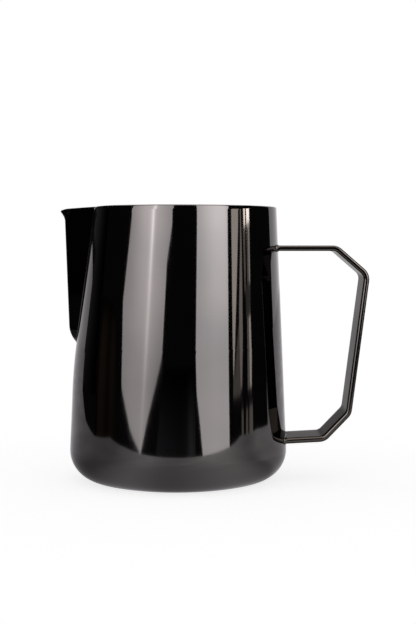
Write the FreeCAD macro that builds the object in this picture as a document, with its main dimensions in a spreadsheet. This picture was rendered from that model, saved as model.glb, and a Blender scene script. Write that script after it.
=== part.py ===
import FreeCAD, Part
import math
import os
import Sketcher
from FreeCAD import Rotation, Vector

# Milk frothing pitcher, about 600 ml: a drawn steel cup with a sharp welded spout and a bent strap handle.
# The origin is the centre of the base, on the standing plane. The handle is on +X and the spout on -X.

doc = FreeCAD.newDocument("frothing_pitcher")

# ---------------------------------------------------------------- driving dimensions
SIZES = [
    # alias, value in mm (or degrees where it says so), meaning
    ("body_height", 110.0, "standing plane to rim"),
    ("rim_radius", 40.0, "outside of the wall at the rim"),
    ("foot_radius", 44.4, "outside of the wall carried down to the standing plane"),
    ("corner_radius", 12.0, "rounded base corner, outside"),
    ("gauge", 0.9, "thickness of the wall, the floor and the beak"),
    ("dish_radius", 29.5, "edge of the dished underside"),
    ("dish_rise", 1.6, "height of the dish in the middle"),
    ("dip_start", 20.0, "reach where the rim starts to fall towards the spout"),
    ("dip_end", 44.5, "reach where the lip starts to droop"),
    ("dip_depth", 0.5, "how far the rim has fallen there"),
    ("droop_reach", 48.2, "reach of the tip of the lip"),
    ("droop_depth", 1.6, "how far the tip of the lip lies below the rim"),
    ("press_angle", 60.0, "the wall is pressed in from here to the front, degrees"),
    ("press_rate", 0.23, "how fast the pressing grows with height"),
    ("press_start", 36.0, "height where the pressing fades in"),
    ("press_blend", 20.0, "height over which it fades in"),
    ("face_angle", 41.0, "turn of each face of the beak from the front, degrees"),
    ("face_run", 32.0, "length of each face, which ends inside the wall"),
    ("heel_height", 53.9, "bottom end of the ridge, just inside the wall"),
    ("root_reach", 45.05, "sharp ridge above its rounded bottom"),
    ("root_height", 62.0, "height of that point"),
    ("heel_bend", 10.0, "radius of the ridge's rounded bottom"),
    ("neck_reach", 46.75, "sharp ridge just below the lip"),
    ("neck_height", 104.0, "height of that point"),
    ("lip_centre", 43.6, "reach of the middle of the flared lip"),
    ("lip_radius_low", 2.4, "radius of the flare at the neck"),
    ("lip_radius_high", 5.6, "radius of the flare carried up to the rim"),
    ("nose_radius", 1.6, "rounding of the ridge, outside"),
    ("beak_back", 20.0, "the beak's outline closes here, inside the cup"),
    ("seam_leg", 0.6, "width of the dressed weld line on each side of the corner"),
    ("strap_thickness", 2.2, "handle bar thickness"),
    ("strap_width", 21.0, "handle bar width"),
    ("strap_edge", 0.9, "rounded edges of the bar"),
    ("bend_radius", 4.5, "radius of the handle bends, along the middle of the bar"),
    ("strap_root", 36.0, "the bar is cut to the wall from here"),
    ("upper_arm_height", 93.4, "middle of the upper arm"),
    ("shoulder_reach", 63.7, "corner between the upper arm and the upper slope"),
    ("grip_top_reach", 75.9, "corner between the upper slope and the grip"),
    ("grip_top_height", 82.7, "height of that corner"),
    ("grip_foot_reach", 68.5, "corner between the grip and the lower slope"),
    ("grip_foot_height", 27.3, "height of that corner"),
    ("elbow_reach", 58.5, "corner between the lower slope and the lower arm"),
    ("elbow_height", 17.0, "height of that corner"),
    ("lower_arm_height", 15.8, "middle of the lower arm at its root"),
    ("weld_leg", 0.7, "size of the handle welds on the bar and on the wall"),
    ("weld_root", 2.0, "the welds are cut to the wall from this far inside it"),
]

sheet = doc.addObject("Spreadsheet::Sheet", "Sizes")
for row, (alias, value, meaning) in enumerate(SIZES, start=1):
    sheet.set("A%d" % row, meaning)
    sheet.set("B%d" % row, str(value))
    sheet.setAlias("B%d" % row, alias)
doc.recompute()


def size(alias):
    """The value that the sheet holds."""
    return float(sheet.get(alias))


def add_shape(name, shape):
    feature = doc.addObject("Part::Feature", name)
    feature.Shape = shape
    feature.Placement = FreeCAD.Placement()
    return feature


def add_cut(name, base, tool):
    cut = doc.addObject("Part::Cut", name)
    cut.Base = base
    cut.Tool = tool
    return cut


# ---------------------------------------------------------------- sketch helpers
def add_side_sketch(name):
    """A sketch on the upright plane through the spout and the handle: its x is X and its y is Z."""
    sketch = doc.addObject("Sketcher::SketchObject", name)
    sketch.Placement = FreeCAD.Placement(Vector(0, 0, 0), Rotation(Vector(1, 0, 0), 90))
    return sketch


def drive(sketch, constraint, formula):
    index = sketch.addConstraint(constraint)
    sketch.setExpression("Constraints[%d]" % index, formula)


def pin(sketch, geometry, end, across, up):
    """Hold one point of a sketch at two formulas of the sheet."""
    place = sketch.getPoint(geometry, end)
    drive(sketch, Sketcher.Constraint("DistanceX", -1, 1, geometry, end, place.x), across)
    drive(sketch, Sketcher.Constraint("DistanceY", -1, 1, geometry, end, place.y), up)


def join(sketch, first, second):
    """The end of one line or arc is the start of the next."""
    sketch.addConstraint(Sketcher.Constraint("Coincident", first, 2, second, 1))


def add_line(sketch, start, end):
    return sketch.addGeometry(Part.LineSegment(Vector(*start, 0), Vector(*end, 0)))


# ---------------------------------------------------------------- the cup
taper = (size("foot_radius") - size("rim_radius")) / size("body_height")
lean = math.atan(taper)
corner_top = size("corner_radius") * (1.0 + math.sin(lean))
corner_centre = size("foot_radius") - size("corner_radius") * (taper + 1.0 / math.cos(lean))
above_rim = size("body_height") + 4.0


def wall_radius(height):
    return size("foot_radius") - taper * height


def press_offset(height):
    """How far the centres of the pressed side arcs stand off the axis at this height."""
    start = size("press_start")
    blend = size("press_blend")
    if height <= start:
        return 0.0
    if height <= start + blend:
        return size("press_rate") * (height - start) ** 2 / (2.0 * blend)
    return size("press_rate") * (height - start - blend / 2.0)


def level_arc(centre_x, centre_y, radius, start, end, height):
    """A level arc; its angles run from +X in degrees."""
    points = []
    for angle in (start, (start + end) / 2.0, end):
        turn = math.radians(angle)
        points.append(Vector(centre_x + radius * math.cos(turn), centre_y + radius * math.sin(turn), height))
    return Part.Arc(*points).toShape()


def wall_section(height, inset):
    """Level outline of the wall: a wide arc at the back, a tighter pressed arc on each side of the front."""
    back = wall_radius(height) - inset
    offset = press_offset(height)
    side = back - offset
    tangent = 180.0 - size("press_angle")
    centre_x = offset * math.cos(math.radians(tangent))
    centre_y = offset * math.sin(math.radians(tangent))
    front = 180.0 + math.degrees(math.asin(centre_y / side))
    return Part.Wire([
        level_arc(0.0, 0.0, back, -tangent, tangent, height),
        level_arc(centre_x, centre_y, side, tangent, front, height),
        level_arc(centre_x, -centre_y, side, 360.0 - front, 360.0 - tangent, height),
    ])


def wall_solid(inset, bottom, top):
    """Everything inside the wall's surface between two heights, inset from the outside."""
    start = size("press_start")
    full = start + size("press_blend")
    heights = [bottom, (bottom + start) / 2.0, start, (start + full) / 2.0, full]
    heights += [full + (top - full) * step / 3.0 for step in (1, 2, 3)]
    return Part.makeLoft([wall_section(height, inset) for height in heights], True, False)


def upright(x, height):
    return Vector(x, 0.0, height)


def corner_point(inset, angle):
    """A point on the base corner; the angle runs from straight down towards the wall, in radians."""
    radius = size("corner_radius") - inset
    return upright(
        corner_centre + radius * math.sin(angle),
        size("corner_radius") - radius * math.cos(angle),
    )


def base_solid(inset):
    """Everything inside the base's surface, from the standing plane to the top of the corner."""
    middle = upright(0.0, inset + size("dish_rise"))
    halfway = upright(size("dish_radius") / 2.0, inset + size("dish_rise") * 0.75)
    dish_edge = upright(size("dish_radius"), inset)
    foot = corner_point(inset, 0.0)
    wall_foot = corner_point(inset, math.pi / 2.0 + lean)
    shoulder = upright(wall_radius(corner_top) - inset / math.cos(lean), corner_top)
    top_middle = upright(0.0, corner_top)
    edges = [
        Part.Arc(middle, halfway, dish_edge).toShape(),
        Part.makeLine(dish_edge, foot),
        Part.Arc(foot, corner_point(inset, math.pi / 4.0), wall_foot).toShape(),
        Part.makeLine(shoulder, top_middle),
        Part.makeLine(top_middle, middle),
    ]
    if inset > 0.0:
        edges.append(Part.makeLine(wall_foot, shoulder))
    outline = Part.Wire(Part.__sortEdges__(edges))
    return Part.Face(outline).revolve(Vector(0, 0, 0), Vector(0, 0, 1), 360)


def cup_solid(inset, top):
    """The whole filled cup at one inset."""
    return base_solid(inset).fuse(wall_solid(inset / math.cos(lean), corner_top, top))


cup_outside = add_shape("cup_outside", cup_solid(0.0, above_rim))
cup_inside = add_shape("cup_inside", cup_solid(size("gauge"), above_rim + 1.0))

# ---------------------------------------------------------------- what lies above the rim line
def add_outline(name, corners):
    """A closed outline with every corner held at two formulas; a corner is (x, height, formula, formula)."""
    sketch = add_side_sketch(name)
    for index, corner in enumerate(corners):
        following = corners[(index + 1) % len(corners)]
        add_line(sketch, corner[:2], following[:2])
    for index, corner in enumerate(corners):
        join(sketch, index, (index + 1) % len(corners))
        pin(sketch, index, 1, corner[2], corner[3])
    return sketch


def add_prism(name, outline, direction, length):
    """Push an outline out along a direction."""
    prism = doc.addObject("Part::Extrusion", name)
    prism.Base = outline
    prism.DirMode = "Custom"
    prism.Dir = direction
    prism.Solid = True
    prism.setExpression("LengthFwd", length)
    return prism


rim = size("body_height")
lip_top = rim - size("droop_depth")
rim_outline = add_outline("rim_outline", [
    (90.0, rim + 9.0, "90", "Sizes.body_height + 9"),
    (-90.0, rim + 9.0, "-90", "Sizes.body_height + 9"),
    (-90.0, lip_top, "-90", "Sizes.body_height - Sizes.droop_depth"),
    (-size("droop_reach"), lip_top, "-Sizes.droop_reach", "Sizes.body_height - Sizes.droop_depth"),
    (-size("dip_end"), rim - size("dip_depth"), "-Sizes.dip_end", "Sizes.body_height - Sizes.dip_depth"),
    (-size("dip_start"), rim, "-Sizes.dip_start", "Sizes.body_height"),
    (90.0, rim, "90", "Sizes.body_height"),
])
above_everything = add_prism("above_everything", rim_outline, Vector(0, 1, 0), "Sizes.foot_radius * 3")
above_everything.Symmetric = True


# ---------------------------------------------------------------- the beak
def add_beak_outline(name, inset):
    """Side view of the beak out to its ridge, inset from the outside of its sheet."""
    step = inset / math.cos(math.radians(size("face_angle")))
    root = Vector(step - size("root_reach"), size("root_height"), 0)
    neck = Vector(step - size("neck_reach"), size("neck_height"), 0)
    along = (neck - root).normalize()
    top = neck + along * ((size("body_height") - neck.y) / along.y)

    radius = size("heel_bend") - inset
    centre = root + Vector(along.y, -along.x, 0) * radius
    heel_height = size("heel_height") + inset
    heel_drop = centre.y - heel_height
    heel = Vector(centre.x - math.sqrt(radius ** 2 - heel_drop ** 2), heel_height, 0)
    bulge = centre + ((heel + root) / 2.0 - centre).normalize() * radius
    back_top = Vector(-size("beak_back"), size("body_height"), 0)
    back_foot = Vector(-size("beak_back"), heel_height, 0)

    sketch = add_side_sketch(name)
    sketch.addGeometry(Part.Arc(heel, bulge, root))
    sketch.addGeometry(Part.LineSegment(root, top))
    sketch.addGeometry(Part.LineSegment(top, back_top))
    sketch.addGeometry(Part.LineSegment(back_top, back_foot))
    sketch.addGeometry(Part.LineSegment(back_foot, heel))
    return sketch


def add_beak_wedge(name, outline):
    """Both faces run back from the ridge, one to each side."""
    turn = math.radians(size("face_angle"))
    halves = []
    for side, sign in (("left", 1), ("right", -1)):
        direction = Vector(math.sin(turn), sign * math.cos(turn), 0)
        half = add_prism("%s_%s" % (name, side), outline, direction, "Sizes.face_run")
        half.setExpression("Dir.x", "sin(Sizes.face_angle * 1deg)")
        half.setExpression("Dir.y", "%d * cos(Sizes.face_angle * 1deg)" % sign)
        halves.append(half)
    wedge = doc.addObject("Part::Fuse", name)
    wedge.Base, wedge.Tool = halves
    return wedge


def on_ridge(edge):
    """True for the outer edges that lie on the beak's middle plane."""
    box = edge.BoundBox
    level = abs(box.YMin) < 0.01 and abs(box.YMax) < 0.01
    return level and box.XMax < -2.0 * size("beak_back") + 1.0 and box.ZLength > 1.0


def add_rounded_ridge(wedge, radius):
    doc.recompute()
    fillet = doc.addObject("Part::Fillet", wedge.Name + "_rounded")
    fillet.Base = wedge
    edges = enumerate(wedge.Shape.Edges, start=1)
    fillet.Edges = [(number, radius, radius) for number, edge in edges if on_ridge(edge)]
    return fillet


def add_beak(name, inset):
    """Everything inside the beak's surface; it runs back into the cup."""
    wedge = add_beak_wedge(name + "_wedge", add_beak_outline(name + "_outline", inset))
    rounded = add_rounded_ridge(wedge, size("nose_radius") - inset)
    lip = doc.addObject("Part::Cone", name + "_lip")
    lip.setExpression("Radius1", "Sizes.lip_radius_low - %s" % inset)
    lip.setExpression("Radius2", "Sizes.lip_radius_high - %s" % inset)
    lip.setExpression("Height", "Sizes.body_height - Sizes.neck_height")
    lip.setExpression("Placement.Base.x", "-Sizes.lip_centre")
    lip.setExpression("Placement.Base.z", "Sizes.neck_height")
    beak = doc.addObject("Part::Fuse", name)
    beak.Base = rounded
    beak.Tool = lip
    return beak


beak_outside = add_beak("beak_outside", 0.0)
beak_inside = add_beak("beak_inside", size("gauge"))
doc.recompute()

# ---------------------------------------------------------------- the drawn cup and the beak, as made
cup_wall = add_cut("cup_wall", cup_outside, cup_inside)
notched_wall = add_cut("notched_wall", cup_wall, beak_inside)
body_shell = add_cut("body_shell", notched_wall, above_everything)

beak_sheet = add_cut("beak_sheet", beak_outside, beak_inside)
beak_trimmed = add_cut("beak_trimmed", beak_sheet, cup_outside)
spout = add_cut("spout", beak_trimmed, above_everything)
doc.recompute()


# ---------------------------------------------------------------- the weld line along the beak
def ridge_reach(height):
    """Reach of the beak's sharp ridge at this height."""
    rise = (size("neck_reach") - size("root_reach")) / (size("neck_height") - size("root_height"))
    reach = size("root_reach") + rise * (height - size("root_height"))
    drop = max(0.0, size("root_height") - height)
    return reach - size("heel_bend") + math.sqrt(size("heel_bend") ** 2 - drop ** 2)


def wall_normal(point):
    """Outward direction of the pressed wall at a point of it."""
    turn = math.radians(180.0 - size("press_angle"))
    offset = press_offset(point.z)
    side = math.copysign(1.0, point.y)
    centre = Vector(offset * math.cos(turn), side * offset * math.sin(turn), point.z)
    return (point - centre).normalize()


def beak_normal(point):
    """Outward direction of the beak's face at a point of it."""
    turn = math.radians(size("face_angle"))
    side = math.copysign(1.0, point.y)
    back = Vector(math.sin(turn), side * math.cos(turn), 0)
    slope = ridge_reach(point.z + 0.5) - ridge_reach(point.z - 0.5)
    normal = back.cross(Vector(-slope, 0, 1)).normalize()
    return normal if normal.x < 0 else -normal


def seam_section(point):
    """A small triangle that fills the corner between the wall and the beak."""
    on_wall = wall_normal(point)
    on_beak = beak_normal(point)
    along = on_wall.cross(on_beak)
    up_wall = on_wall.cross(along).normalize()
    up_beak = on_beak.cross(along).normalize()
    if up_wall.dot(on_beak) < 0:
        up_wall = -up_wall
    if up_beak.dot(on_wall) < 0:
        up_beak = -up_beak
    leg = size("seam_leg")
    return [point, point + up_wall * leg, point + up_beak * leg]


def corner_points():
    """Points of the line where the beak's outside meets the wall's, on one side, from the rim down."""
    meeting = beak_outside.Shape.section(cup_outside.Shape)
    found = {}
    for edge in meeting.Edges:
        if edge.BoundBox.ZLength < 0.2:
            continue
        for point in edge.discretize(13):
            if point.y > size("seam_leg"):
                found[round(point.z)] = point
    points = [found[height] for height in sorted(found, reverse=True)]
    top, following = points[:2]
    points[0] = top + (following - top) * (size("dip_depth") / (top.z - following.z))
    return points


near_side = [seam_section(point) for point in corner_points()]
far_side = [[Vector(corner.x, -corner.y, corner.z) for corner in corners] for corners in reversed(near_side)]
seam_outlines = [Part.makePolygon(corners + corners[:1]) for corners in near_side + far_side]
spout_seam = add_shape("spout_seam", Part.makeLoft(seam_outlines, True, True))
doc.recompute()


# ---------------------------------------------------------------- the handle bar
def origin_plane(body, role):
    return [plane for plane in body.Origin.OriginFeatures if plane.Role == role][0]


def attach(sketch, body, role):
    sketch.AttachmentSupport = [(origin_plane(body, role), "")]
    sketch.MapMode = "FlatFace"


def add_bar_path(body):
    """The bent bar's middle line: straight stretches joined by equal bends."""
    corners = [
        ("strap_root", "upper_arm_height"),
        ("shoulder_reach", "upper_arm_height"),
        ("grip_top_reach", "grip_top_height"),
        ("grip_foot_reach", "grip_foot_height"),
        ("elbow_reach", "elbow_height"),
        ("strap_root", "lower_arm_height"),
    ]
    points = [Vector(size(x), size(z), 0) for x, z in corners]
    sketch = body.newObject("Sketcher::SketchObject", "bar_path")
    attach(sketch, body, "XZ_Plane")
    radius = size("bend_radius")
    start = points[0]
    for index in range(1, 5):
        before = (points[index] - points[index - 1]).normalize()
        after = (points[index + 1] - points[index]).normalize()
        cut_back = radius * math.tan(before.getAngle(after) / 2.0)
        enter = points[index] - before * cut_back
        leave = points[index] + after * cut_back
        toward = (after - before).normalize()
        centre = points[index] + toward * (radius / math.cos(before.getAngle(after) / 2.0))
        sketch.addGeometry(Part.LineSegment(start, enter))
        sketch.addGeometry(Part.Arc(enter, centre - toward * radius, leave))
        start = leave
    sketch.addGeometry(Part.LineSegment(start, points[5]))
    return sketch


def add_bar_section(body):
    """Rounded rectangle across the bar at the root of the upper arm."""
    half_width = size("strap_width") / 2.0
    half_thickness = size("strap_thickness") / 2.0
    edge = size("strap_edge")
    sketch = body.newObject("Sketcher::SketchObject", "bar_section")
    attach(sketch, body, "YZ_Plane")
    offset = Vector(0, size("upper_arm_height"), size("strap_root"))
    sketch.AttachmentOffset = FreeCAD.Placement(offset, Rotation())
    sketch.setExpression("AttachmentOffset.Base.y", "Sizes.upper_arm_height")
    sketch.setExpression("AttachmentOffset.Base.z", "Sizes.strap_root")
    quarter = edge * (1.0 - math.sqrt(0.5))
    for side_y, side_z in ((1, 1), (-1, 1), (-1, -1), (1, -1)):
        on_side = Vector(side_y * half_width, side_z * (half_thickness - edge), 0)
        on_corner = Vector(side_y * (half_width - quarter), side_z * (half_thickness - quarter), 0)
        on_face = Vector(side_y * (half_width - edge), side_z * half_thickness, 0)
        sketch.addGeometry(Part.Arc(on_side, on_corner, on_face))
    for side in (1, -1):
        flat_end = Vector(half_width - edge, side * half_thickness, 0)
        sketch.addGeometry(Part.LineSegment(flat_end, Vector(-flat_end.x, flat_end.y, 0)))
        round_end = Vector(side * half_width, half_thickness - edge, 0)
        sketch.addGeometry(Part.LineSegment(round_end, Vector(round_end.x, -round_end.y, 0)))
    return sketch


bar_body = doc.addObject("PartDesign::Body", "bent_bar")
bar_pipe = bar_body.newObject("PartDesign::AdditivePipe", "bar_pipe")
bar_pipe.Profile = add_bar_section(bar_body)
bar_pipe.Spine = (add_bar_path(bar_body), [])
bar_pipe.Transition = "Transformed"
handle_strap = add_cut("handle_strap", bar_body, cup_outside)
doc.recompute()


# ---------------------------------------------------------------- the handle's welds
WELD_EDGE = 0.06  # thickness of the weld where it runs out on the bar


def add_weld(name, height):
    """A bevelled collar around one end of the bar, whose middle lies at the named height."""
    body = doc.addObject("PartDesign::Body", name + "_block")
    middle = size(height)
    wall = wall_radius(middle)
    leg = size("weld_leg")
    # the collar is widest inside the wall and narrows to a thin edge on the bar
    for label, reach, grow in (("inner", wall - size("weld_root"), leg), ("outer", wall + leg, WELD_EDGE)):
        sketch = body.newObject("Sketcher::SketchObject", "%s_%s" % (name, label))
        attach(sketch, body, "YZ_Plane")
        sketch.AttachmentOffset = FreeCAD.Placement(Vector(0, middle, reach), Rotation())
        half_width = size("strap_width") / 2.0 + grow
        half_height = size("strap_thickness") / 2.0 + grow
        corners = [
            (-half_width, -half_height), (half_width, -half_height),
            (half_width, half_height), (-half_width, half_height),
        ]
        for index, corner in enumerate(corners):
            add_line(sketch, corner, corners[(index + 1) % 4])
        for index in range(4):
            join(sketch, index, (index + 1) % 4)
    loft = body.newObject("PartDesign::AdditiveLoft", name + "_loft")
    inner, outer = [item for item in body.Group if item.TypeId == "Sketcher::SketchObject"]
    loft.Profile = inner
    loft.Sections = [outer]
    around_bar = add_cut(name + "_around_bar", body, bar_body)
    return add_cut(name, around_bar, cup_outside)


upper_handle_weld = add_weld("upper_handle_weld", "upper_arm_height")
lower_handle_weld = add_weld("lower_handle_weld", "lower_arm_height")
doc.recompute()

# ---------------------------------------------------------------- check and write
NODES = (body_shell, spout, spout_seam, handle_strap, upper_handle_weld, lower_handle_weld)

for item in doc.Objects:
    bad = {"Invalid", "Error"} & set(item.State)
    if bad:
        raise RuntimeError("%s failed: %s" % (item.Name, ", ".join(item.State)))

os.makedirs("parts", exist_ok=True)
for node in NODES:
    node.Label = node.Name
    if node.Shape.isNull() or not node.Shape.isValid():
        raise RuntimeError("%s has no valid shape" % node.Name)
    print(node.Name, len(node.Shape.Solids), round(node.Shape.Volume, 1), node.Shape.BoundBox)
for node in NODES:
    node.Shape.exportStep("parts/%s.step" % node.Name)
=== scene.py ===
import math

import bpy
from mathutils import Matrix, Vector


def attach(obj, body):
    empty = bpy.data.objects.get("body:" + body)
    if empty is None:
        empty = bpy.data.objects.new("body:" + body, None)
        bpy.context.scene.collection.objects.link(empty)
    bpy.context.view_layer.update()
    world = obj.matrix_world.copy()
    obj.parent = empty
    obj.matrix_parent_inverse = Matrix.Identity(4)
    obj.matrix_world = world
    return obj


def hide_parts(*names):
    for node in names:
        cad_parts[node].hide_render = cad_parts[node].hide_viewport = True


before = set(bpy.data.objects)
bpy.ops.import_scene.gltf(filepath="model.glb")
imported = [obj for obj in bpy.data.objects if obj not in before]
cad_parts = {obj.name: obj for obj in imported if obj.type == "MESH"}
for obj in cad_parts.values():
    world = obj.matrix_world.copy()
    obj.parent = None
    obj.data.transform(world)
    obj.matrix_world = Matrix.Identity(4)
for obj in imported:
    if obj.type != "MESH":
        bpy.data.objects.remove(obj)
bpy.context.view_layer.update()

# Milk frothing pitcher: a mirror-black steel cup, spout on -X, strap handle on +X, standing on z = 0.
# The pitcher's sizes are millimetres, and its meshes are scaled to metres when they are made.
MM = 0.001

BODY_HEIGHT = 110.0
FOOT_RADIUS = 44.4
TAPER = 0.04
CORNER_RADIUS = 12.0
CORNER_CENTRE = 31.9
DISH_RADIUS = 29.5
DISH_RISE = 1.6
GAUGE = 0.9
LEAN = math.atan(TAPER)
CORNER_TOP = CORNER_RADIUS * (1.0 + math.sin(LEAN))

PRESS_ANGLE = math.radians(60.0)
PRESS_RATE = 0.23
PRESS_START = 36.0
PRESS_BLEND = 20.0
FRONT_SOFTNESS = math.radians(5.0)

FACE_ANGLE = math.radians(41.0)
NOSE_RADIUS = 1.6
ROOT_REACH = 45.05
ROOT_HEIGHT = 62.0
RIDGE_LEAN = 0.0405
HEEL_BEND = 10.0

# the lip turns out at its nose, over the last few millimetres
LIP_START = 105.2
LIP_HEIGHT = 3.3
LIP_REACH = 1.7
LIP_CURVE = 1.3
LIP_SPREAD = 2.8

# the rim falls a little from the middle of the cup to the root of the beak, and droops beyond it
RIM_FALL_START = 20.0
RIM_FALL_END = 44.5
RIM_FALL = 0.5
LIP_SLOPE = 0.041
LIP_DROOP = 0.075
LIP_DROOP_CURVE = 1.7

# limits of the searches for the crease and the heel, and how often each is halved
LONGEST_FACE = 40.0
HEEL_SEARCH = (50.0, 60.0)
HALVINGS = 40


# ---------------------------------------------------------------- shape of the cup and the beak
def press_offset(z):
    """How far the centres of the pressed cheeks stand off the axis."""
    if z <= PRESS_START:
        return 0.0
    if z <= PRESS_START + PRESS_BLEND:
        return PRESS_RATE * (z - PRESS_START) ** 2 / (2.0 * PRESS_BLEND)
    return PRESS_RATE * (z - PRESS_START - PRESS_BLEND / 2.0)


def wall_radius(angle, z, inset=0.0):
    """Polar radius of the wall; the angle runs from the spout."""
    radius = FOOT_RADIUS - TAPER * z - inset
    turn = abs(angle)
    if turn < PRESS_ANGLE:
        turn = math.hypot(turn, FRONT_SOFTNESS)
    if turn >= PRESS_ANGLE:
        return radius
    offset = press_offset(z)
    off = PRESS_ANGLE - turn
    return offset * math.cos(off) + math.sqrt((radius - offset) ** 2 - (offset * math.sin(off)) ** 2)


def ridge_reach(z):
    """Reach of the beak's sharp ridge."""
    reach = ROOT_REACH + RIDGE_LEAN * (z - ROOT_HEIGHT)
    if z < ROOT_HEIGHT:
        reach -= HEEL_BEND - math.sqrt(max(0.0, HEEL_BEND ** 2 - (ROOT_HEIGHT - z) ** 2))
    return reach


def lip_flare(z):
    """How far the lip turns out at its nose."""
    return LIP_REACH * max(0.0, (z - LIP_START) / LIP_HEIGHT) ** LIP_CURVE


def beak_point(along, z, inset):
    """Level outline of the beak from its nose back along one face; along is the distance from the nose."""
    centre = ridge_reach(z) - NOSE_RADIUS / math.cos(FACE_ANGLE)
    radius = NOSE_RADIUS - inset
    arc = NOSE_RADIUS * FACE_ANGLE
    if along < arc:
        turn = along / NOSE_RADIUS
        x, y = centre + radius * math.cos(turn), radius * math.sin(turn)
    else:
        run = along - arc
        x = centre + radius * math.cos(FACE_ANGLE) - run * math.sin(FACE_ANGLE)
        y = radius * math.sin(FACE_ANGLE) + run * math.cos(FACE_ANGLE)
    x += lip_flare(z) * math.exp(-(along / LIP_SPREAD) ** 2)
    return x, y


def crease(z, inset):
    """Where the beak meets the wall: distance along the beak's outline, and the angle from the spout."""
    low, high = 0.0, LONGEST_FACE
    for _ in range(HALVINGS):
        middle = (low + high) / 2.0
        x, y = beak_point(middle, z, inset)
        if math.hypot(x, y) > wall_radius(math.atan2(y, x), z, inset):
            low = middle
        else:
            high = middle
    x, y = beak_point(low, z, inset)
    return low, math.atan2(y, x)


def find_heel():
    """Height at which the ridge comes out of the wall."""
    low, high = HEEL_SEARCH
    for _ in range(HALVINGS):
        middle = (low + high) / 2.0
        if beak_point(0.0, middle, 0.0)[0] > wall_radius(0.0, middle):
            high = middle
        else:
            low = middle
    return high


HEEL = find_heel()


def rim_height(x):
    """The rim line: level, then falling a little towards the spout and drooping at the lip."""
    reach = -x
    if reach < RIM_FALL_START:
        return BODY_HEIGHT
    share = (min(reach, RIM_FALL_END) - RIM_FALL_START) / (RIM_FALL_END - RIM_FALL_START)
    height = BODY_HEIGHT - RIM_FALL * share ** 2
    if reach > RIM_FALL_END:
        beyond = reach - RIM_FALL_END
        height -= LIP_SLOPE * beyond + LIP_DROOP * beyond ** LIP_DROOP_CURVE
    return height


# ---------------------------------------------------------------- mesh helpers
def make_piece(name, points, faces, material, node):
    """A smooth mesh from points in millimetres, riding on the one body and standing in for its CAD node."""
    mesh = bpy.data.meshes.new(name)
    mesh.from_pydata([(x * MM, y * MM, z * MM) for x, y, z in points], [], faces)
    mesh.validate()
    mesh.shade_smooth()
    piece = bpy.data.objects.new(name, mesh)
    bpy.context.scene.collection.objects.link(piece)
    mesh.materials.append(material)
    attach(piece, "root")
    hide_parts(node)
    return piece


class Grid:
    """Collects points, merging those that coincide, and the faces between rows of them."""

    def __init__(self):
        self.points = []
        self.faces = []
        self.known = {}

    def add(self, point):
        key = tuple(round(value, 4) for value in point)
        if key not in self.known:
            self.known[key] = len(self.points)
            self.points.append(point)
        return self.known[key]

    def face(self, corners):
        kept = [corner for index, corner in enumerate(corners) if corner != corners[index - 1]]
        if len(set(kept)) >= 3:
            self.faces.append(kept)

    def skin(self, rows):
        """Faces between each row of point numbers and the next."""
        for first, second in zip(rows, rows[1:]):
            for index in range(len(first) - 1):
                self.face([first[index], first[index + 1], second[index + 1], second[index]])

    def close_cut_edges(self, rows):
        """Faces across the sheet's thickness at both ends of the rows; the last rows mirror the first."""
        count = len(rows)
        for index in range(count // 2):
            mirror = count - 1 - index
            for end in (0, -1):
                corners = [rows[index][end], rows[mirror][end], rows[mirror - 1][end], rows[index + 1][end]]
                self.face(corners if end else corners[::-1])


def joined_rings(count, sides, closed):
    """Faces between rings of points, each ring with the same number of sides."""
    faces = []
    for index in range(count if closed else count - 1):
        base, following = index * sides, ((index + 1) % count) * sides
        for step in range(sides):
            nxt = (step + 1) % sides
            faces.append([base + step, base + nxt, following + nxt, following + step])
    return faces


def end_caps(count, sides):
    """Faces that close the first and the last ring."""
    return [list(reversed(range(sides))), [(count - 1) * sides + step for step in range(sides)]]


# ---------------------------------------------------------------- the rows of heights that both sheets share
WALL_ROWS = 64
RIM_STEPS = 6
ROW_CROWDING = 1.6
SETTLE_STEPS = 3


def sheet_rows(count):
    """(share of the height, inset, lift): up the outside, over the rounded rim and down the inside."""
    half = GAUGE / 2.0
    rows = [((index / count) ** ROW_CROWDING, 0.0, 0.0) for index in range(count + 1)]
    for step in range(1, RIM_STEPS):
        turn = math.pi * step / RIM_STEPS
        rows.append((1.0, half * (1.0 - math.cos(turn)), half * math.sin(turn)))
    rows += [(share, GAUGE, 0.0) for share, _, _ in reversed(rows[:count + 1])]
    return rows


def row_height(share, lift, x):
    """Height of a row where it passes x; the rows spread from the heel to the rim line."""
    top = rim_height(x) - GAUGE / 2.0
    return HEEL + share * (top - HEEL) + lift


def settle(place, share, lift):
    """Place a point whose height follows the rim line; place(z) gives x and y."""
    z = row_height(share, lift, 0.0)
    for _ in range(SETTLE_STEPS):
        x, y = place(z - lift)
        z = row_height(share, lift, x)
    return x, y, z


CREASES = {}


def known_crease(z, inset):
    """The crease at a rounded height, worked out once."""
    key = (round(z, 2), round(inset, 3))
    if key not in CREASES:
        CREASES[key] = crease(*key)
    return CREASES[key]


def crease_run(z, inset):
    return known_crease(z, inset)[0]


def crease_angle(z, inset):
    return known_crease(z, inset)[1]


# ---------------------------------------------------------------- the cup
SIDE_COLUMNS = 150
COLUMN_CROWDING = 1.15
BELOW_ROWS = 24
DISH_STEPS = 12
CORNER_STEPS = 24


def around(first_angle):
    """Angles all the way round from one edge of the notch to the other, closer together beside it."""
    span = math.pi - first_angle
    shares = [(index / SIDE_COLUMNS) ** COLUMN_CROWDING for index in range(SIDE_COLUMNS + 1)]
    half = [first_angle + span * share for share in shares]
    return half + [-angle for angle in reversed(half[:-1])]


def wall_point(angle, z, inset):
    """Point of the wall at an angle from the spout, which is on -X."""
    radius = wall_radius(angle, z, inset)
    return -radius * math.cos(angle), radius * math.sin(angle), z


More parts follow.
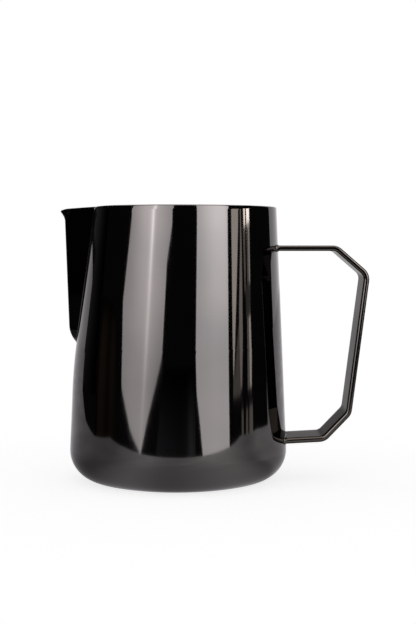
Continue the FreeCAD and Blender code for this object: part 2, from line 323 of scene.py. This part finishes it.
def lower_profile(inset):
    """(radius, height) of the underside, the foot ring and the corner, from the middle out."""
    profile = []
    for index in range(DISH_STEPS + 1):
        reach = DISH_RADIUS * index / DISH_STEPS
        profile.append((reach, inset + DISH_RISE * (1.0 - (reach / DISH_RADIUS) ** 2)))
    radius = CORNER_RADIUS - inset
    for index in range(CORNER_STEPS + 1):
        turn = (math.pi / 2.0 + LEAN) * index / CORNER_STEPS
        profile.append((CORNER_CENTRE + radius * math.sin(turn), CORNER_RADIUS - radius * math.cos(turn)))
    return profile


def build_cup(material):
    """One sheet: up the outside, over the rim and down the inside, with a notch for the beak."""
    grid = Grid()

    def ring(radius, z):
        return [grid.add((-radius * math.cos(angle), radius * math.sin(angle), z)) for angle in around(0.0)]

    def wall_ring(z, inset):
        return [grid.add(wall_point(angle, z, inset)) for angle in around(0.0)]

    def notched_row(share, inset, lift):
        row = []
        for index in range(2 * SIDE_COLUMNS + 1):
            side = 1.0 if index <= SIDE_COLUMNS else -1.0
            part = min(index, 2 * SIDE_COLUMNS - index) / SIDE_COLUMNS

            def place(z):
                edge = crease_angle(z, inset)
                angle = edge + (math.pi - edge) * part ** COLUMN_CROWDING
                x, y, _ = wall_point(angle, z, inset)
                return x, side * y

            row.append(grid.add(settle(place, share, lift)))
        return row

    below = [CORNER_TOP + (HEEL - CORNER_TOP) * index / BELOW_ROWS for index in range(1, BELOW_ROWS)]
    outer = [ring(radius, z) for radius, z in lower_profile(0.0)]
    outer += [wall_ring(z, 0.0) for z in below]
    shared = [notched_row(*row) for row in sheet_rows(WALL_ROWS)]
    inner = [wall_ring(z, GAUGE) for z in reversed(below)]
    inner += [ring(radius, z) for radius, z in reversed(lower_profile(GAUGE))]
    grid.skin(outer + shared + inner)
    grid.close_cut_edges(shared)
    return make_piece("cup_shell", grid.points, grid.faces, material, "body_shell")


# ---------------------------------------------------------------- the beak
BEAK_COLUMNS = 34
NOSE_CROWDING = 1.7


def build_beak(material):
    """Two flat faces that meet in a sharp round nose, from crease to crease."""
    grid = Grid()
    rows = []
    for share, inset, lift in sheet_rows(WALL_ROWS):
        row = []
        for index in range(-BEAK_COLUMNS, BEAK_COLUMNS + 1):
            side = 1.0 if index >= 0 else -1.0
            part = abs(index) / BEAK_COLUMNS

            def place(z):
                x, y = beak_point(crease_run(z, inset) * part ** NOSE_CROWDING, z, inset)
                return -x, side * y

            row.append(grid.add(settle(place, share, lift)))
        rows.append(row)
    grid.skin(rows)
    grid.close_cut_edges(rows)
    return make_piece("pouring_beak", grid.points, grid.faces, material, "spout")


# ---------------------------------------------------------------- the seam between them
BEAD_SIDES = 12
SEAM_RADIUS = 0.32
SEAM_END = 0.03
SEAM_THIN = 0.45
SEAM_THIN_FROM = 0.62
SEAM_THIN_OVER = 0.2
SEAM_TIP = (0.35, 0.25)


def bead_ring(centre, radius, first, second):
    """Ring of points round a centre, in the plane of two directions."""
    turns = [2.0 * math.pi * step / BEAD_SIDES for step in range(BEAD_SIDES)]
    return [tuple(centre + radius * (first * math.cos(turn) + second * math.sin(turn))) for turn in turns]


def seam_bead(path, radii):
    """Points and faces of a round bead along an open path."""
    points = []
    last = len(path) - 1
    for index, here in enumerate(path):
        heading = (path[min(index + 1, last)] - path[max(index - 1, 0)]).normalized()
        side = heading.cross(Vector((1.0, 0.0, 0.0))).normalized()
        points += bead_ring(here, radii[index], side, heading.cross(side))
    faces = joined_rings(len(path), BEAD_SIDES, closed=False) + end_caps(len(path), BEAD_SIDES)
    return points, faces


def build_seam(material):
    """Dressed weld line in the corner between the beak and the wall, thinner towards the rim."""
    def place(z):
        return wall_point(crease_angle(z, 0.0), z, 0.0)[:2]

    shares = [share for share, _, _ in sheet_rows(WALL_ROWS)[:WALL_ROWS]]
    side = [Vector(settle(place, share, 0.0)) for share in shares]
    fullness = [min(1.0, max(0.0, (SEAM_THIN_FROM - share) / SEAM_THIN_OVER)) for share in shares]
    half = [SEAM_RADIUS * (SEAM_THIN + (1.0 - SEAM_THIN) * part) for part in fullness]
    half[-2:] = [SEAM_RADIUS * part for part in SEAM_TIP]
    # a short last step keeps the end cap from shading the side of the bead
    side.append(side[-1] + Vector((0.0, 0.0, SEAM_END)))
    half.append(half[-1])
    other = [Vector((point.x, -point.y, point.z)) for point in reversed(side[1:])]
    points, faces = seam_bead(other + side, half[:0:-1] + half)
    return make_piece("beak_seam", points, faces, material, "spout_seam")


# ---------------------------------------------------------------- the handle
STRAP_WIDTH = 21.0
STRAP_THICKNESS = 2.2
STRAP_EDGE = 0.9
STRAP_BEND = 4.5
STRAP_CORNERS = [(36.0, 93.4), (63.7, 93.4), (75.9, 82.7), (68.5, 27.3), (58.5, 17.0), (36.0, 15.8)]
STRAP_ROOT = 45.0
STRAP_SINK = 0.4
RUN_STEPS = 10
BEND_STEPS = 10
EDGE_STEPS = 6
FLAT_STEPS = (10, 3, 10, 3)


def strap_path():
    """The bar's middle line as (point, outward normal) pairs: straight runs and round bends."""
    corners = [Vector((x, 0.0, z)) for x, z in STRAP_CORNERS]
    line = []

    def run(start, end):
        heading = (end - start).normalized()
        normal = Vector((-heading.z, 0.0, heading.x))
        for step in range(RUN_STEPS + 1):
            line.append((start.lerp(end, step / RUN_STEPS), normal))

    start = corners[0]
    for index in range(1, len(corners) - 1):
        before = (corners[index] - corners[index - 1]).normalized()
        after = (corners[index + 1] - corners[index]).normalized()
        turn = before.angle(after)
        back = STRAP_BEND * math.tan(turn / 2.0)
        enter = corners[index] - before * back
        run(start, enter)
        inward = (after - before).normalized()
        centre = corners[index] + inward * (STRAP_BEND / math.cos(turn / 2.0))
        first = (enter - centre).normalized()
        for step in range(1, BEND_STEPS):
            angle = turn * step / BEND_STEPS
            normal = first * math.cos(angle) + before * math.sin(angle)
            line.append((centre + normal * STRAP_BEND, normal))
        start = corners[index] + after * back
    run(start, corners[-1])
    return line


def strap_section():
    """Rectangle with rounded edges: (across, outward) pairs."""
    outline = []
    half_width = STRAP_WIDTH / 2.0 - STRAP_EDGE
    half_height = STRAP_THICKNESS / 2.0 - STRAP_EDGE
    quarters = ((1, 1), (-1, 1), (-1, -1), (1, -1))

    def edge_point(quarter, turn):
        across, out = quarters[quarter % 4]
        return (
            across * half_width + STRAP_EDGE * math.cos(math.radians(turn)),
            out * half_height + STRAP_EDGE * math.sin(math.radians(turn)),
        )

    for quarter in range(4):
        first_turn = 90.0 * quarter
        for step in range(EDGE_STEPS + 1):
            outline.append(edge_point(quarter, first_turn + 90.0 * step / EDGE_STEPS))
        start, end = outline[-1], edge_point(quarter + 1, first_turn + 90.0)
        steps = FLAT_STEPS[quarter]
        for step in range(1, steps):
            share = step / steps
            outline.append((start[0] + (end[0] - start[0]) * share, start[1] + (end[1] - start[1]) * share))
    return outline


def build_handle(material):
    """Flat bar along the bent path; its ends stop just inside the round wall."""
    section = strap_section()
    line = strap_path()
    points = []
    for place, normal in line:
        for across, out in section:
            spot = place + normal * out
            if place.x < STRAP_ROOT:
                wall = wall_radius(math.pi, spot.z) - STRAP_SINK
                spot.x = max(spot.x, math.sqrt(wall * wall - across * across))
            points.append((spot.x, across, spot.z))
    faces = joined_rings(len(line), len(section), closed=False) + end_caps(len(line), len(section))
    return make_piece("handle_bar", points, faces, material, "handle_strap")


# ---------------------------------------------------------------- the welds of the handle
WELD_RADIUS = 0.27
WELD_STAND_OFF = 0.06
WELD_LIFT = 0.05
WELD_WIDEN = 1.004
WELD_THICKEN = 1.06
# (size, rate) of the waves along a bead
WELD_WAVES = ((0.14, 2.3), (0.1, 5.1))


def bead_swell(index, phase):
    """How thick a hand-made bead is at each step, as a share of its usual size."""
    (broad, broad_rate), (fine, fine_rate) = WELD_WAVES
    return 1.0 + broad * math.sin(broad_rate * index) + fine * math.sin(fine_rate * index + phase)


def build_weld(name, node, height, phase, material):
    """A bead all round one end of the bar, lying in the corner between the bar and the wall."""
    path = []
    for across, out in strap_section():
        z = height + out * WELD_THICKEN
        wall = wall_radius(math.pi, z) + WELD_STAND_OFF
        path.append(Vector((math.sqrt(wall * wall - across * across) + WELD_LIFT, across * WELD_WIDEN, z)))
    outward = Vector((1.0, 0.0, 0.0))
    points = []
    for index, here in enumerate(path):
        heading = path[(index + 1) % len(path)] - path[index - 1]
        heading.x = 0.0
        side = heading.normalized().cross(outward)
        points += bead_ring(here, WELD_RADIUS * bead_swell(index, phase), outward, side)
    faces = joined_rings(len(path), BEAD_SIDES, closed=True)
    return make_piece(name, points, faces, material, node)


# ---------------------------------------------------------------- materials
CLOUD_SCALE = 28.0
CLOUD_EDGES = (0.35, 0.65)
SWELL_SCALE = 45.0
GLOSS_LOW, GLOSS_HIGH = 0.8, 1.2
SCRATCH_STRENGTH = 0.35
# (height in metres, share of the steel's tone) up the foot of the beak; a painted shade, darker in a band
# above the edge of the heel
HEEL_PAINTED_SHADE = [(0.0545, 1.0), (0.0566, 1.0), (0.0573, 0.05), (0.0603, 0.05), (0.0620, 1.0)]


def clean_material(name):
    """An empty node material: (material, nodes, links, the output's surface socket)."""
    material = bpy.data.materials.new(name)
    material.use_nodes = True
    nodes, links = material.node_tree.nodes, material.node_tree.links
    nodes.clear()
    output = nodes.new("ShaderNodeOutputMaterial")
    return material, nodes, links, output.inputs["Surface"]


def noise(nodes, scale, detail):
    """A noise texture node."""
    texture = nodes.new("ShaderNodeTexNoise")
    texture.inputs["Scale"].default_value = scale
    texture.inputs["Detail"].default_value = detail
    return texture


def bump(nodes, strength, distance):
    """A bump node; its distance is in metres."""
    relief = nodes.new("ShaderNodeBump")
    relief.inputs["Strength"].default_value = strength
    relief.inputs["Distance"].default_value = distance
    return relief


def paint_heel_shade(nodes, links, place, tone_socket):
    """Painted shade: the steel's tone darkened where the beak's faces turn under, above the edge of its heel.
    """
    low, high = HEEL_PAINTED_SHADE[0][0], HEEL_PAINTED_SHADE[-1][0]
    parts = nodes.new("ShaderNodeSeparateXYZ")
    height = nodes.new("ShaderNodeMapRange")
    height.inputs["From Min"].default_value = low
    height.inputs["From Max"].default_value = high
    ramp = nodes.new("ShaderNodeValToRGB")
    elements = ramp.color_ramp.elements
    while len(elements) < len(HEEL_PAINTED_SHADE):
        elements.new(0.5)
    for element, (level, shade) in zip(elements, HEEL_PAINTED_SHADE):
        element.position = (level - low) / (high - low)
        element.color = (shade, shade, shade, 1.0)
    product = nodes.new("ShaderNodeVectorMath")
    product.operation = "MULTIPLY"
    links.new(place, parts.inputs["Vector"])
    links.new(parts.outputs["Z"], height.inputs["Value"])
    links.new(height.outputs["Result"], ramp.inputs["Fac"])
    links.new(ramp.outputs["Color"], product.inputs[0])
    links.new(tone_socket, product.inputs[1])
    return product.outputs["Vector"]


def polished_metal(name, dark, light, roughness, grain, scratch_depth, wave, edge_tint, painted_heel_shade=False):
    """Mirror-black coated steel: slightly cloudy colour and gloss, fine polishing lines, faint waviness."""
    material, nodes, links, surface = clean_material(name)
    shader = nodes.new("ShaderNodeBsdfPrincipled")
    shader.inputs["Metallic"].default_value = 1.0
    shader.inputs["Specular Tint"].default_value = (*edge_tint, 1.0)
    place = nodes.new("ShaderNodeTexCoord").outputs["Object"]

    cloud = noise(nodes, CLOUD_SCALE, 3.0)
    tone = nodes.new("ShaderNodeValToRGB")
    for element, position, colour in zip(tone.color_ramp.elements, CLOUD_EDGES, (dark, light)):
        element.position = position
        element.color = (*colour, 1.0)
    links.new(place, cloud.inputs["Vector"])
    links.new(cloud.outputs["Fac"], tone.inputs["Fac"])
    tone_socket = tone.outputs["Color"]
    # painted shade: the tone is darkened in a band above the beak's heel
    if painted_heel_shade:
        tone_socket = paint_heel_shade(nodes, links, place, tone_socket)
    links.new(tone_socket, shader.inputs["Base Color"])

    stretch = nodes.new("ShaderNodeMapping")
    stretch.inputs["Scale"].default_value = grain
    lines = noise(nodes, 1.0, 2.0)
    gloss = nodes.new("ShaderNodeMapRange")
    gloss.inputs["To Min"].default_value = roughness * GLOSS_LOW
    gloss.inputs["To Max"].default_value = roughness * GLOSS_HIGH
    links.new(place, stretch.inputs["Vector"])
    links.new(stretch.outputs["Vector"], lines.inputs["Vector"])
    links.new(lines.outputs["Fac"], gloss.inputs["Value"])
    links.new(gloss.outputs["Result"], shader.inputs["Roughness"])

    swell = noise(nodes, SWELL_SCALE, 1.0)
    wavy = bump(nodes, 1.0, wave)
    scratch = bump(nodes, SCRATCH_STRENGTH, scratch_depth)
    links.new(place, swell.inputs["Vector"])
    links.new(swell.outputs["Fac"], wavy.inputs["Height"])
    links.new(lines.outputs["Fac"], scratch.inputs["Height"])
    links.new(wavy.outputs["Normal"], scratch.inputs["Normal"])
    links.new(scratch.outputs["Normal"], shader.inputs["Normal"])
    links.new(shader.outputs["BSDF"], surface)
    return material


def glow(name, strength, tint):
    """Even light of one tint."""
    material, nodes, links, surface = clean_material(name)
    emission = nodes.new("ShaderNodeEmission")
    emission.inputs["Color"].default_value = (*tint, 1.0)
    emission.inputs["Strength"].default_value = strength
    links.new(emission.outputs["Emission"], surface)
    return material


# ---------------------------------------------------------------- the pieces in their metals
BODY_FINISH = {
    "dark": (0.070, 0.066, 0.067),
    "light": (0.080, 0.075, 0.075),
    "roughness": 0.042,
    "grain": (30.0, 30.0, 160.0),
    "scratch_depth": 0.0000002,
    "wave": 0.00001,
    "edge_tint": (0.75, 0.74, 0.76),
}
HANDLE_FINISH = {
    "dark": (0.055, 0.051, 0.048),
    "light": (0.068, 0.062, 0.058),
    "roughness": 0.13,
    "grain": (60.0, 300.0, 60.0),
    "scratch_depth": 0.0000002,
    "wave": 0.000006,
    "edge_tint": (0.22, 0.215, 0.215),
}
WELD_FINISH = {
    "dark": (0.060, 0.056, 0.054),
    "light": (0.085, 0.078, 0.074),
    "roughness": 0.09,
    "grain": (300.0, 300.0, 300.0),
    "scratch_depth": 0.0000004,
    "wave": 0.00001,
    "edge_tint": (0.4, 0.39, 0.38),
}
UPPER_WELD_HEIGHT = 93.4
LOWER_WELD_HEIGHT = 16.2

body_metal = polished_metal("black_mirror_steel", **BODY_FINISH)
# the beak's copy of the steel carries a painted shade above its heel
beak_metal = polished_metal("black_mirror_steel_beak", **BODY_FINISH, painted_heel_shade=True)
handle_metal = polished_metal("black_satin_steel", **HANDLE_FINISH)
weld_metal = polished_metal("black_weld_steel", **WELD_FINISH)
build_cup(body_metal)
build_beak(beak_metal)
build_seam(weld_metal)
build_handle(handle_metal)
build_weld("upper_weld_bead", "upper_handle_weld", UPPER_WELD_HEIGHT, 0.0, weld_metal)
build_weld("lower_weld_bead", "lower_handle_weld", LOWER_WELD_HEIGHT, 1.0, weld_metal)

# ---------------------------------------------------------------- studio
# The stage is in metres. Light cards stand far off all round; only mirror reflections see them.
ROOM_RADIUS = 6.0
STUDIO_CENTRE = Vector((0.0, 0.0, 0.06))

NEUTRAL = (1.0, 0.985, 0.985)
WARM = (1.0, 0.92, 0.83)
ROSE = (1.0, 0.97, 0.965)
SILVER = (1.0, 0.985, 0.98)
LAMPLIT = (1.0, 0.78, 0.55)
DAYLIT = (0.85, 0.9, 1.0)


def direction(azimuth, elevation):
    """Azimuth 0 is towards the camera (-Y) and grows towards the spout side (-X); both in degrees."""
    around_z, up = math.radians(azimuth), math.radians(elevation)
    return Vector((-math.sin(around_z) * math.cos(up), -math.cos(around_z) * math.cos(up), math.sin(up)))


def add_sheet(name, corners, material):
    """A flat stage sheet through its corners."""
    mesh = bpy.data.meshes.new(name)
    mesh.from_pydata(corners, [], [list(range(len(corners)))])
    mesh.materials.append(material)
    sheet = bpy.data.objects.new(name, mesh)
    bpy.context.scene.collection.objects.link(sheet)
    return sheet


def show_to_mirrors_only(sheet):
    sheet.visible_camera = False
    sheet.visible_diffuse = False
    sheet.visible_shadow = False


def add_card(name, material, corners):
    """A soft light card; its corners are directions seen from the pitcher."""
    places = [STUDIO_CENTRE + direction(*corner) * ROOM_RADIUS for corner in corners]
    show_to_mirrors_only(add_sheet(name, places, material))


def add_plain_card(name, strength, tint, corners):
    """A card of one strength."""
    add_card(name, glow(name + "_glow", strength, tint), corners)


def add_band(name, strength, tint, left, right, bottom, top, step=10.0):
    """A curved card between two azimuths, in flat strips."""
    count = max(1, round(abs(left - right) / step))
    for index in range(count):
        first = left + (right - left) * index / count
        second = left + (right - left) * (index + 1) / count
        corners = [(first, bottom), (second, bottom), (second, top), (first, top)]
        add_plain_card("%s_%d" % (name, index), strength, tint, corners)


class LightField:
    """Glow of a card whose strength depends on its direction, seen from the pitcher."""

    def __init__(self, name, tint):
        self.material, self.nodes, self.links, surface = clean_material(name)
        place = self.nodes.new("ShaderNodeTexCoord")
        self.place = place.outputs["Object"]
        turned = self.nodes.new("ShaderNodeMapping")
        turned.inputs["Location"].default_value = (0.0, 0.0, -STUDIO_CENTRE.z)
        turned.inputs["Scale"].default_value = (-1.0, -1.0, 1.0)
        self.links.new(self.place, turned.inputs["Vector"])
        unit = self.nodes.new("ShaderNodeVectorMath")
        unit.operation = "NORMALIZE"
        self.links.new(turned.outputs["Vector"], unit.inputs[0])
        parts = self.nodes.new("ShaderNodeSeparateXYZ")
        self.links.new(unit.outputs["Vector"], parts.inputs["Vector"])
        in_degrees = math.degrees(1.0)
        turn = self.math("ARCTAN2", parts.outputs["X"], parts.outputs["Y"])
        self.azimuth = self.math("MULTIPLY", turn, in_degrees)
        self.elevation = self.math("MULTIPLY", self.math("ARCSINE", parts.outputs["Z"]), in_degrees)
        self.emission = self.nodes.new("ShaderNodeEmission")
        self.emission.inputs["Color"].default_value = (*tint, 1.0)
        self.links.new(self.emission.outputs["Emission"], surface)

    def math(self, operation, first, second=None):
        """One sum on numbers or sockets."""
        node = self.nodes.new("ShaderNodeMath")
        node.operation = operation
        for socket, value in zip(node.inputs, (first, second)):
            if isinstance(value, (int, float)):
                socket.default_value = value
            elif value is not None:
                self.links.new(value, socket)
        return node.outputs[0]

    def spread(self, value, low, high, to_low, to_high):
        """Map one range to another and stay inside it."""
        node = self.nodes.new("ShaderNodeMapRange")
        self.links.new(value, node.inputs["Value"])
        ends = {"From Min": low, "From Max": high, "To Min": to_low, "To Max": to_high}
        for socket, number in ends.items():
            node.inputs[socket].default_value = number
        return node.outputs["Result"]

    def curve(self, value, stops):
        """A smooth line through (position, level) stops, which are listed in rising order."""
        low, high = stops[0][0], stops[-1][0]
        ramp = self.nodes.new("ShaderNodeValToRGB")
        ramp.color_ramp.interpolation = "CARDINAL"
        elements = ramp.color_ramp.elements
        while len(elements) < len(stops):
            elements.new(0.5)
        top = max(level for _, level in stops)
        for index, (position, level) in enumerate(stops):
            elements[index].position = (position - low) / (high - low)
            elements[index].color = (level / top, level / top, level / top, 1.0)
        self.links.new(self.spread(value, low, high, 0.0, 1.0), ramp.inputs["Fac"])
        return self.math("MULTIPLY", ramp.outputs["Color"], top)

    def shine(self, strength):
        """Set the glow's strength and give the finished material."""
        self.links.new(strength, self.emission.inputs["Strength"])
        return self.material


def faint_field(tint, in_azimuth, in_elevation):
    """A barely lit part of the dark room."""
    field = LightField("dark_room_glow", tint)
    level = field.curve(field.azimuth, in_azimuth)
    return field.shine(field.math("MULTIPLY", level, field.curve(field.elevation, in_elevation)))


def left_field():
    """Even light with a narrow bright streak, both stronger towards the top."""
    field = LightField("left_softbox_glow", ROSE)
    base = field.curve(field.azimuth, [(2.0, 2.35), (20.0, 2.6), (32.0, 3.6), (38.0, 3.55), (64.0, 2.4)])
    slope = field.curve(field.azimuth, [(2.0, 0.12), (20.0, 0.34), (30.0, 0.34), (50.0, 0.06), (64.0, 0.02)])
    rise = field.spread(field.elevation, -2.0, 6.0, -2.0, 6.0)
    tilted = field.math("ADD", field.azimuth, field.spread(field.elevation, -6.0, 8.0, -6.0, 8.0))
    streak = field.curve(tilted, [
        (27.5, 0.0), (30.5, 0.18), (32.0, 0.62), (33.0, 1.0), (34.0, 0.62), (35.8, 0.18), (39.0, 0.0),
    ])
    height = field.curve(field.elevation, [
        (-6.0, 0.15), (-3.0, 0.75), (0.0, 1.7), (2.3, 2.3), (3.8, 3.5), (6.0, 5.0),
    ])
    even = field.math("ADD", base, field.math("MULTIPLY", slope, rise))
    return field.shine(field.math("ADD", even, field.math("MULTIPLY", streak, height)))


def right_field():
    """Even light that grows towards the top and away from the left edge."""
    field = LightField("right_softbox_glow", SILVER)
    base = field.curve(field.azimuth, [(-62.0, 4.1), (-42.0, 4.1), (-18.0, 3.35)])
    slope = field.curve(field.azimuth, [(-62.0, 0.2), (-54.0, 0.5), (-34.0, 0.35), (-18.0, 0.12)])
    rise = field.spread(field.elevation, -1.0, 6.0, -1.0, 6.0)
    return field.shine(field.math("ADD", base, field.math("MULTIPLY", slope, rise)))


add_card("left_softbox", left_field(), [
    (38.0, -5.4), (32.5, -4.0), (16.0, -0.5), (11.3, 4.0), (5.4, 5.9), (4.0, 12.0), (4.0, 36.0),
    (50.0, 36.0), (52.8, 5.6), (61.8, 1.4), (61.3, -2.6), (50.3, -4.4),
])
add_card("right_softbox", right_field(), [
    (-24.0, -3.9), (-28.5, -6.4), (-55.6, -6.4), (-56.4, -2.0), (-59.3, 6.5), (-61.0, 12.0),
    (-61.0, 36.0), (-22.0, 36.0), (-22.4, 6.0), (-19.8, -0.5), (-20.5, -2.2),
])

# narrow reflections of a shelf and a window beside the right softbox
add_plain_card("shelf_side", 2.9, WARM, [
    (-62.2, -2.2), (-63.3, -1.8), (-72.9, 5.0), (-75.0, 8.0), (-64.6, 8.0), (-62.3, 0.0),
])
add_plain_card("shelf_post", 1.35, WARM, [
    (-75.9, 5.0), (-75.0, 3.9), (-71.5, 1.0), (-70.5, -2.0), (-70.6, -2.9),
    (-72.8, -2.9), (-75.6, -0.4), (-77.3, 3.9), (-77.3, 8.0), (-76.1, 8.0),
])
add_plain_card("shelf_foot", 0.5, WARM, [
    (-71.2, 0.4), (-67.0, -0.9), (-64.5, -2.0), (-61.6, -2.5), (-61.3, -3.1), (-71.0, -3.2),
])
add_plain_card("window_edge_high", 9.5, WARM, [(-80.9, 4.65), (-83.4, 4.65), (-84.0, 9.0), (-81.2, 9.0)])
add_plain_card("window_edge_low", 0.75, WARM, [
    (-79.8, 4.6), (-82.2, 4.6), (-82.4, 2.6), (-81.0, 1.5), (-79.8, 1.5),
])
add_plain_card("window_high", 13.0, WARM, [(-85.2, 4.65), (-89.8, 4.65), (-90.4, 9.0), (-85.6, 9.0)])
add_plain_card("window_middle", 0.75, WARM, [(-85.2, 4.6), (-87.7, 4.6), (-86.6, 1.8), (-84.3, 1.8)])
add_plain_card("window_middle_bright", 2.2, WARM, [(-87.7, 4.6), (-89.6, 4.6), (-88.6, 1.8), (-86.6, 1.8)])
add_plain_card("window_sill", 0.25, WARM, [(-81.5, 1.8), (-88.8, 1.8), (-87.8, 0.2), (-81.0, 0.2)])
add_plain_card("window_low", 0.85, WARM, [(-82.4, 0.3), (-84.9, 0.3), (-84.4, -3.2), (-80.6, -3.2)])
add_plain_card("window_low_bright", 2.8, WARM, [
    (-84.9, 0.2), (-87.6, 0.2), (-87.6, -1.8), (-86.2, -3.2), (-83.8, -3.2),
])
add_plain_card("table_streak_left", 0.6, WARM, [(-71.6, -3.9), (-74.0, -3.9), (-73.4, -5.6), (-70.8, -5.6)])
add_plain_card("table_streak_middle", 0.6, WARM, [(-77.6, -4.0), (-80.2, -4.0), (-79.2, -5.6), (-76.2, -5.6)])
add_plain_card("table_streak_right", 0.75, WARM, [(-82.2, -4.0), (-87.0, -4.0), (-86.2, -5.6), (-81.0, -5.6)])

add_plain_card("backdrop_left", 0.92, NEUTRAL, [
    (127.0, -3.0), (180.0, -3.0), (180.0, 40.0), (158.0, 40.0), (155.0, 3.5),
    (146.0, 3.1), (138.0, 2.95), (131.0, 2.6), (126.0, 1.9), (125.5, 0.0),
])
add_band("backdrop_right", 1.15, NEUTRAL, 180.0, 229.0, -3.0, 40.0)
add_band("ceiling", 2.6, WARM, 0.0, 360.0, 45.0, 88.0, 30.0)

# barely lit parts of the dark room
add_card("side_wall", faint_field(
    NEUTRAL, [(98.0, 0.0), (106.0, 0.012), (112.0, 0.03), (120.0, 0.055), (127.0, 0.075), (150.0, 0.08)],
    [(-4.0, 0.6), (0.0, 1.0), (5.0, 1.0), (9.0, 0.8)],
), [(98.0, -4.0), (126.0, -4.0), (126.0, 3.4), (150.0, 3.8), (150.0, 9.0), (98.0, 9.0)])
add_card("doorway", faint_field(
    LAMPLIT, [(66.0, 0.02), (74.0, 0.05), (80.0, 0.03), (86.0, 0.055), (92.0, 0.06), (97.0, 0.0)],
    [(-6.0, 0.7), (-2.0, 1.0), (0.0, 0.8), (1.4, 0.1)],
), [(66.0, -6.0), (97.0, -6.0), (96.0, 1.4), (72.0, 1.0)])
add_card("room_floor", faint_field(
    DAYLIT, [(-19.0, 0.12), (-14.0, 0.2), (-10.0, 0.08), (0.0, 0.06), (24.0, 0.12)],
    [(-6.6, 1.0), (-4.0, 0.6), (-1.0, 0.0)],
), [(-19.0, -6.6), (24.0, -6.6), (14.0, -1.0), (-19.0, -1.0)])


# ---------------------------------------------------------------- the table
TABLE_SHEET_DROP = 0.0002
WIDE_FLOOR_DROP = 0.0004
TABLE_FRONT_CENTRE = (0.005, 0.136)
TABLE_FRONT_RADIUS = 0.354
TABLE_FRONT_TURNS = range(-34, 35, 4)


def add_floor(name, outline, level, material):
    """A level sheet; the outline is in metres."""
    return add_sheet(name, [(x, y, level) for x, y in outline], material)


def table_glow():
    """The table as the steel sees it: a little brighter under each softbox, with soft uneven patches, and
    darker close round the pitcher as a painted shadow of the pitcher.
    """
    field = LightField("table_seen_in_steel", NEUTRAL)
    around_level = field.curve(field.azimuth, [
        (-180.0, 0.8), (-88.0, 0.85), (-70.0, 0.6), (-40.0, 1.2), (0.0, 0.75),
        (28.0, 1.1), (60.0, 0.5), (90.0, 0.48), (135.0, 0.8), (180.0, 0.8),
    ])
    patches = noise(field.nodes, 14.0, 2.0)
    field.links.new(field.place, patches.inputs["Vector"])
    uneven = field.spread(patches.outputs["Fac"], 0.3, 0.7, 0.88, 1.12)
    # painted shadow of the pitcher: darker where the steel looks steeply down at the table close round it
    shaded = field.curve(field.elevation, [(-60.0, 0.7), (-35.0, 0.85), (-15.0, 1.0), (0.0, 1.0)])
    return field.shine(field.math("MULTIPLY", field.math("MULTIPLY", around_level, uneven), shaded))


def floor_material():
    """Pale table: white paint with a little light of its own, so that it stays bright."""
    material, nodes, links, surface = clean_material("pale_table")
    paint = nodes.new("ShaderNodeBsdfDiffuse")
    paint.inputs["Color"].default_value = (0.9, 0.9, 0.9, 1.0)
    light = nodes.new("ShaderNodeEmission")
    light.inputs["Strength"].default_value = 0.78
    total = nodes.new("ShaderNodeAddShader")
    links.new(paint.outputs["BSDF"], total.inputs[0])
    links.new(light.outputs["Emission"], total.inputs[1])
    links.new(total.outputs["Shader"], surface)
    return material


def table_front():
    """The rounded front edge of the table that the steel reflects."""
    x, y = TABLE_FRONT_CENTRE
    radius = TABLE_FRONT_RADIUS
    turns = [math.radians(turn) for turn in TABLE_FRONT_TURNS]
    return [(x + radius * math.sin(turn), y - radius * math.cos(turn)) for turn in turns]


def build_table():
    """A table and a wide floor for the camera, and a smaller glowing table that only mirrors see."""
    pale = floor_material()
    table_outline = [(-1.5, -1.5), (1.5, -1.5), (1.5, 3.0), (-1.5, 3.0)]
    floor_outline = [(-4.0, -4.0), (4.0, -4.0), (4.0, 4.0), (-4.0, 4.0)]
    add_floor("table_top", table_outline, 0.0, pale).visible_glossy = False
    add_floor("wide_floor", floor_outline, -WIDE_FLOOR_DROP, pale).visible_glossy = False
    seen_outline = [(-1.5, 3.0), (-1.5, 1.0), (-0.45, 0.26), (-0.29, 0.09), (-0.25, 0.0), (-0.265, -0.10)]
    seen_outline += table_front()
    seen_outline += [(0.278, -0.129), (0.305, -0.02), (0.28, 0.07), (1.5, 0.56), (1.5, 3.0)]
    show_to_mirrors_only(add_floor("table_seen", seen_outline, -TABLE_SHEET_DROP, table_glow()))


def build_world():
    """White behind the object, a soft grey fill for dull surfaces, and a dark room in the mirrors."""
    world = bpy.data.worlds.new("studio")
    bpy.context.scene.world = world
    world.use_nodes = True
    nodes, links = world.node_tree.nodes, world.node_tree.links
    nodes.clear()

    def background(colour):
        shader = nodes.new("ShaderNodeBackground")
        shader.inputs["Color"].default_value = (*colour, 1.0)
        return shader.outputs["Background"]

    def choose(question, otherwise, answer):
        mix = nodes.new("ShaderNodeMixShader")
        links.new(ray.outputs[question], mix.inputs["Fac"])
        links.new(otherwise, mix.inputs[1])
        links.new(answer, mix.inputs[2])
        return mix.outputs["Shader"]

    ray = nodes.new("ShaderNodeLightPath")
    room = choose("Is Diffuse Ray", background((0.02, 0.018, 0.019)), background((0.25, 0.25, 0.25)))
    everything = choose("Is Camera Ray", room, background((1.0, 1.0, 1.0)))
    output = nodes.new("ShaderNodeOutputWorld")
    links.new(everything, output.inputs["Surface"])


build_table()
build_world()

# ---------------------------------------------------------------- camera
camera_data = bpy.data.cameras.new("camera")
camera_data.sensor_width = 36.0
camera_data.lens = 73.67
camera_data.shift_y = -0.1066
camera_data.clip_start = 0.01
camera = bpy.data.objects.new("camera", camera_data)
bpy.context.scene.collection.objects.link(camera)
camera.location = (0.0121, -0.521, 0.0945)
camera.rotation_euler = (math.radians(90.0), 0.0, 0.0)
bpy.context.scene.camera = camera
bpy.context.scene.view_settings.view_transform = "Standard"
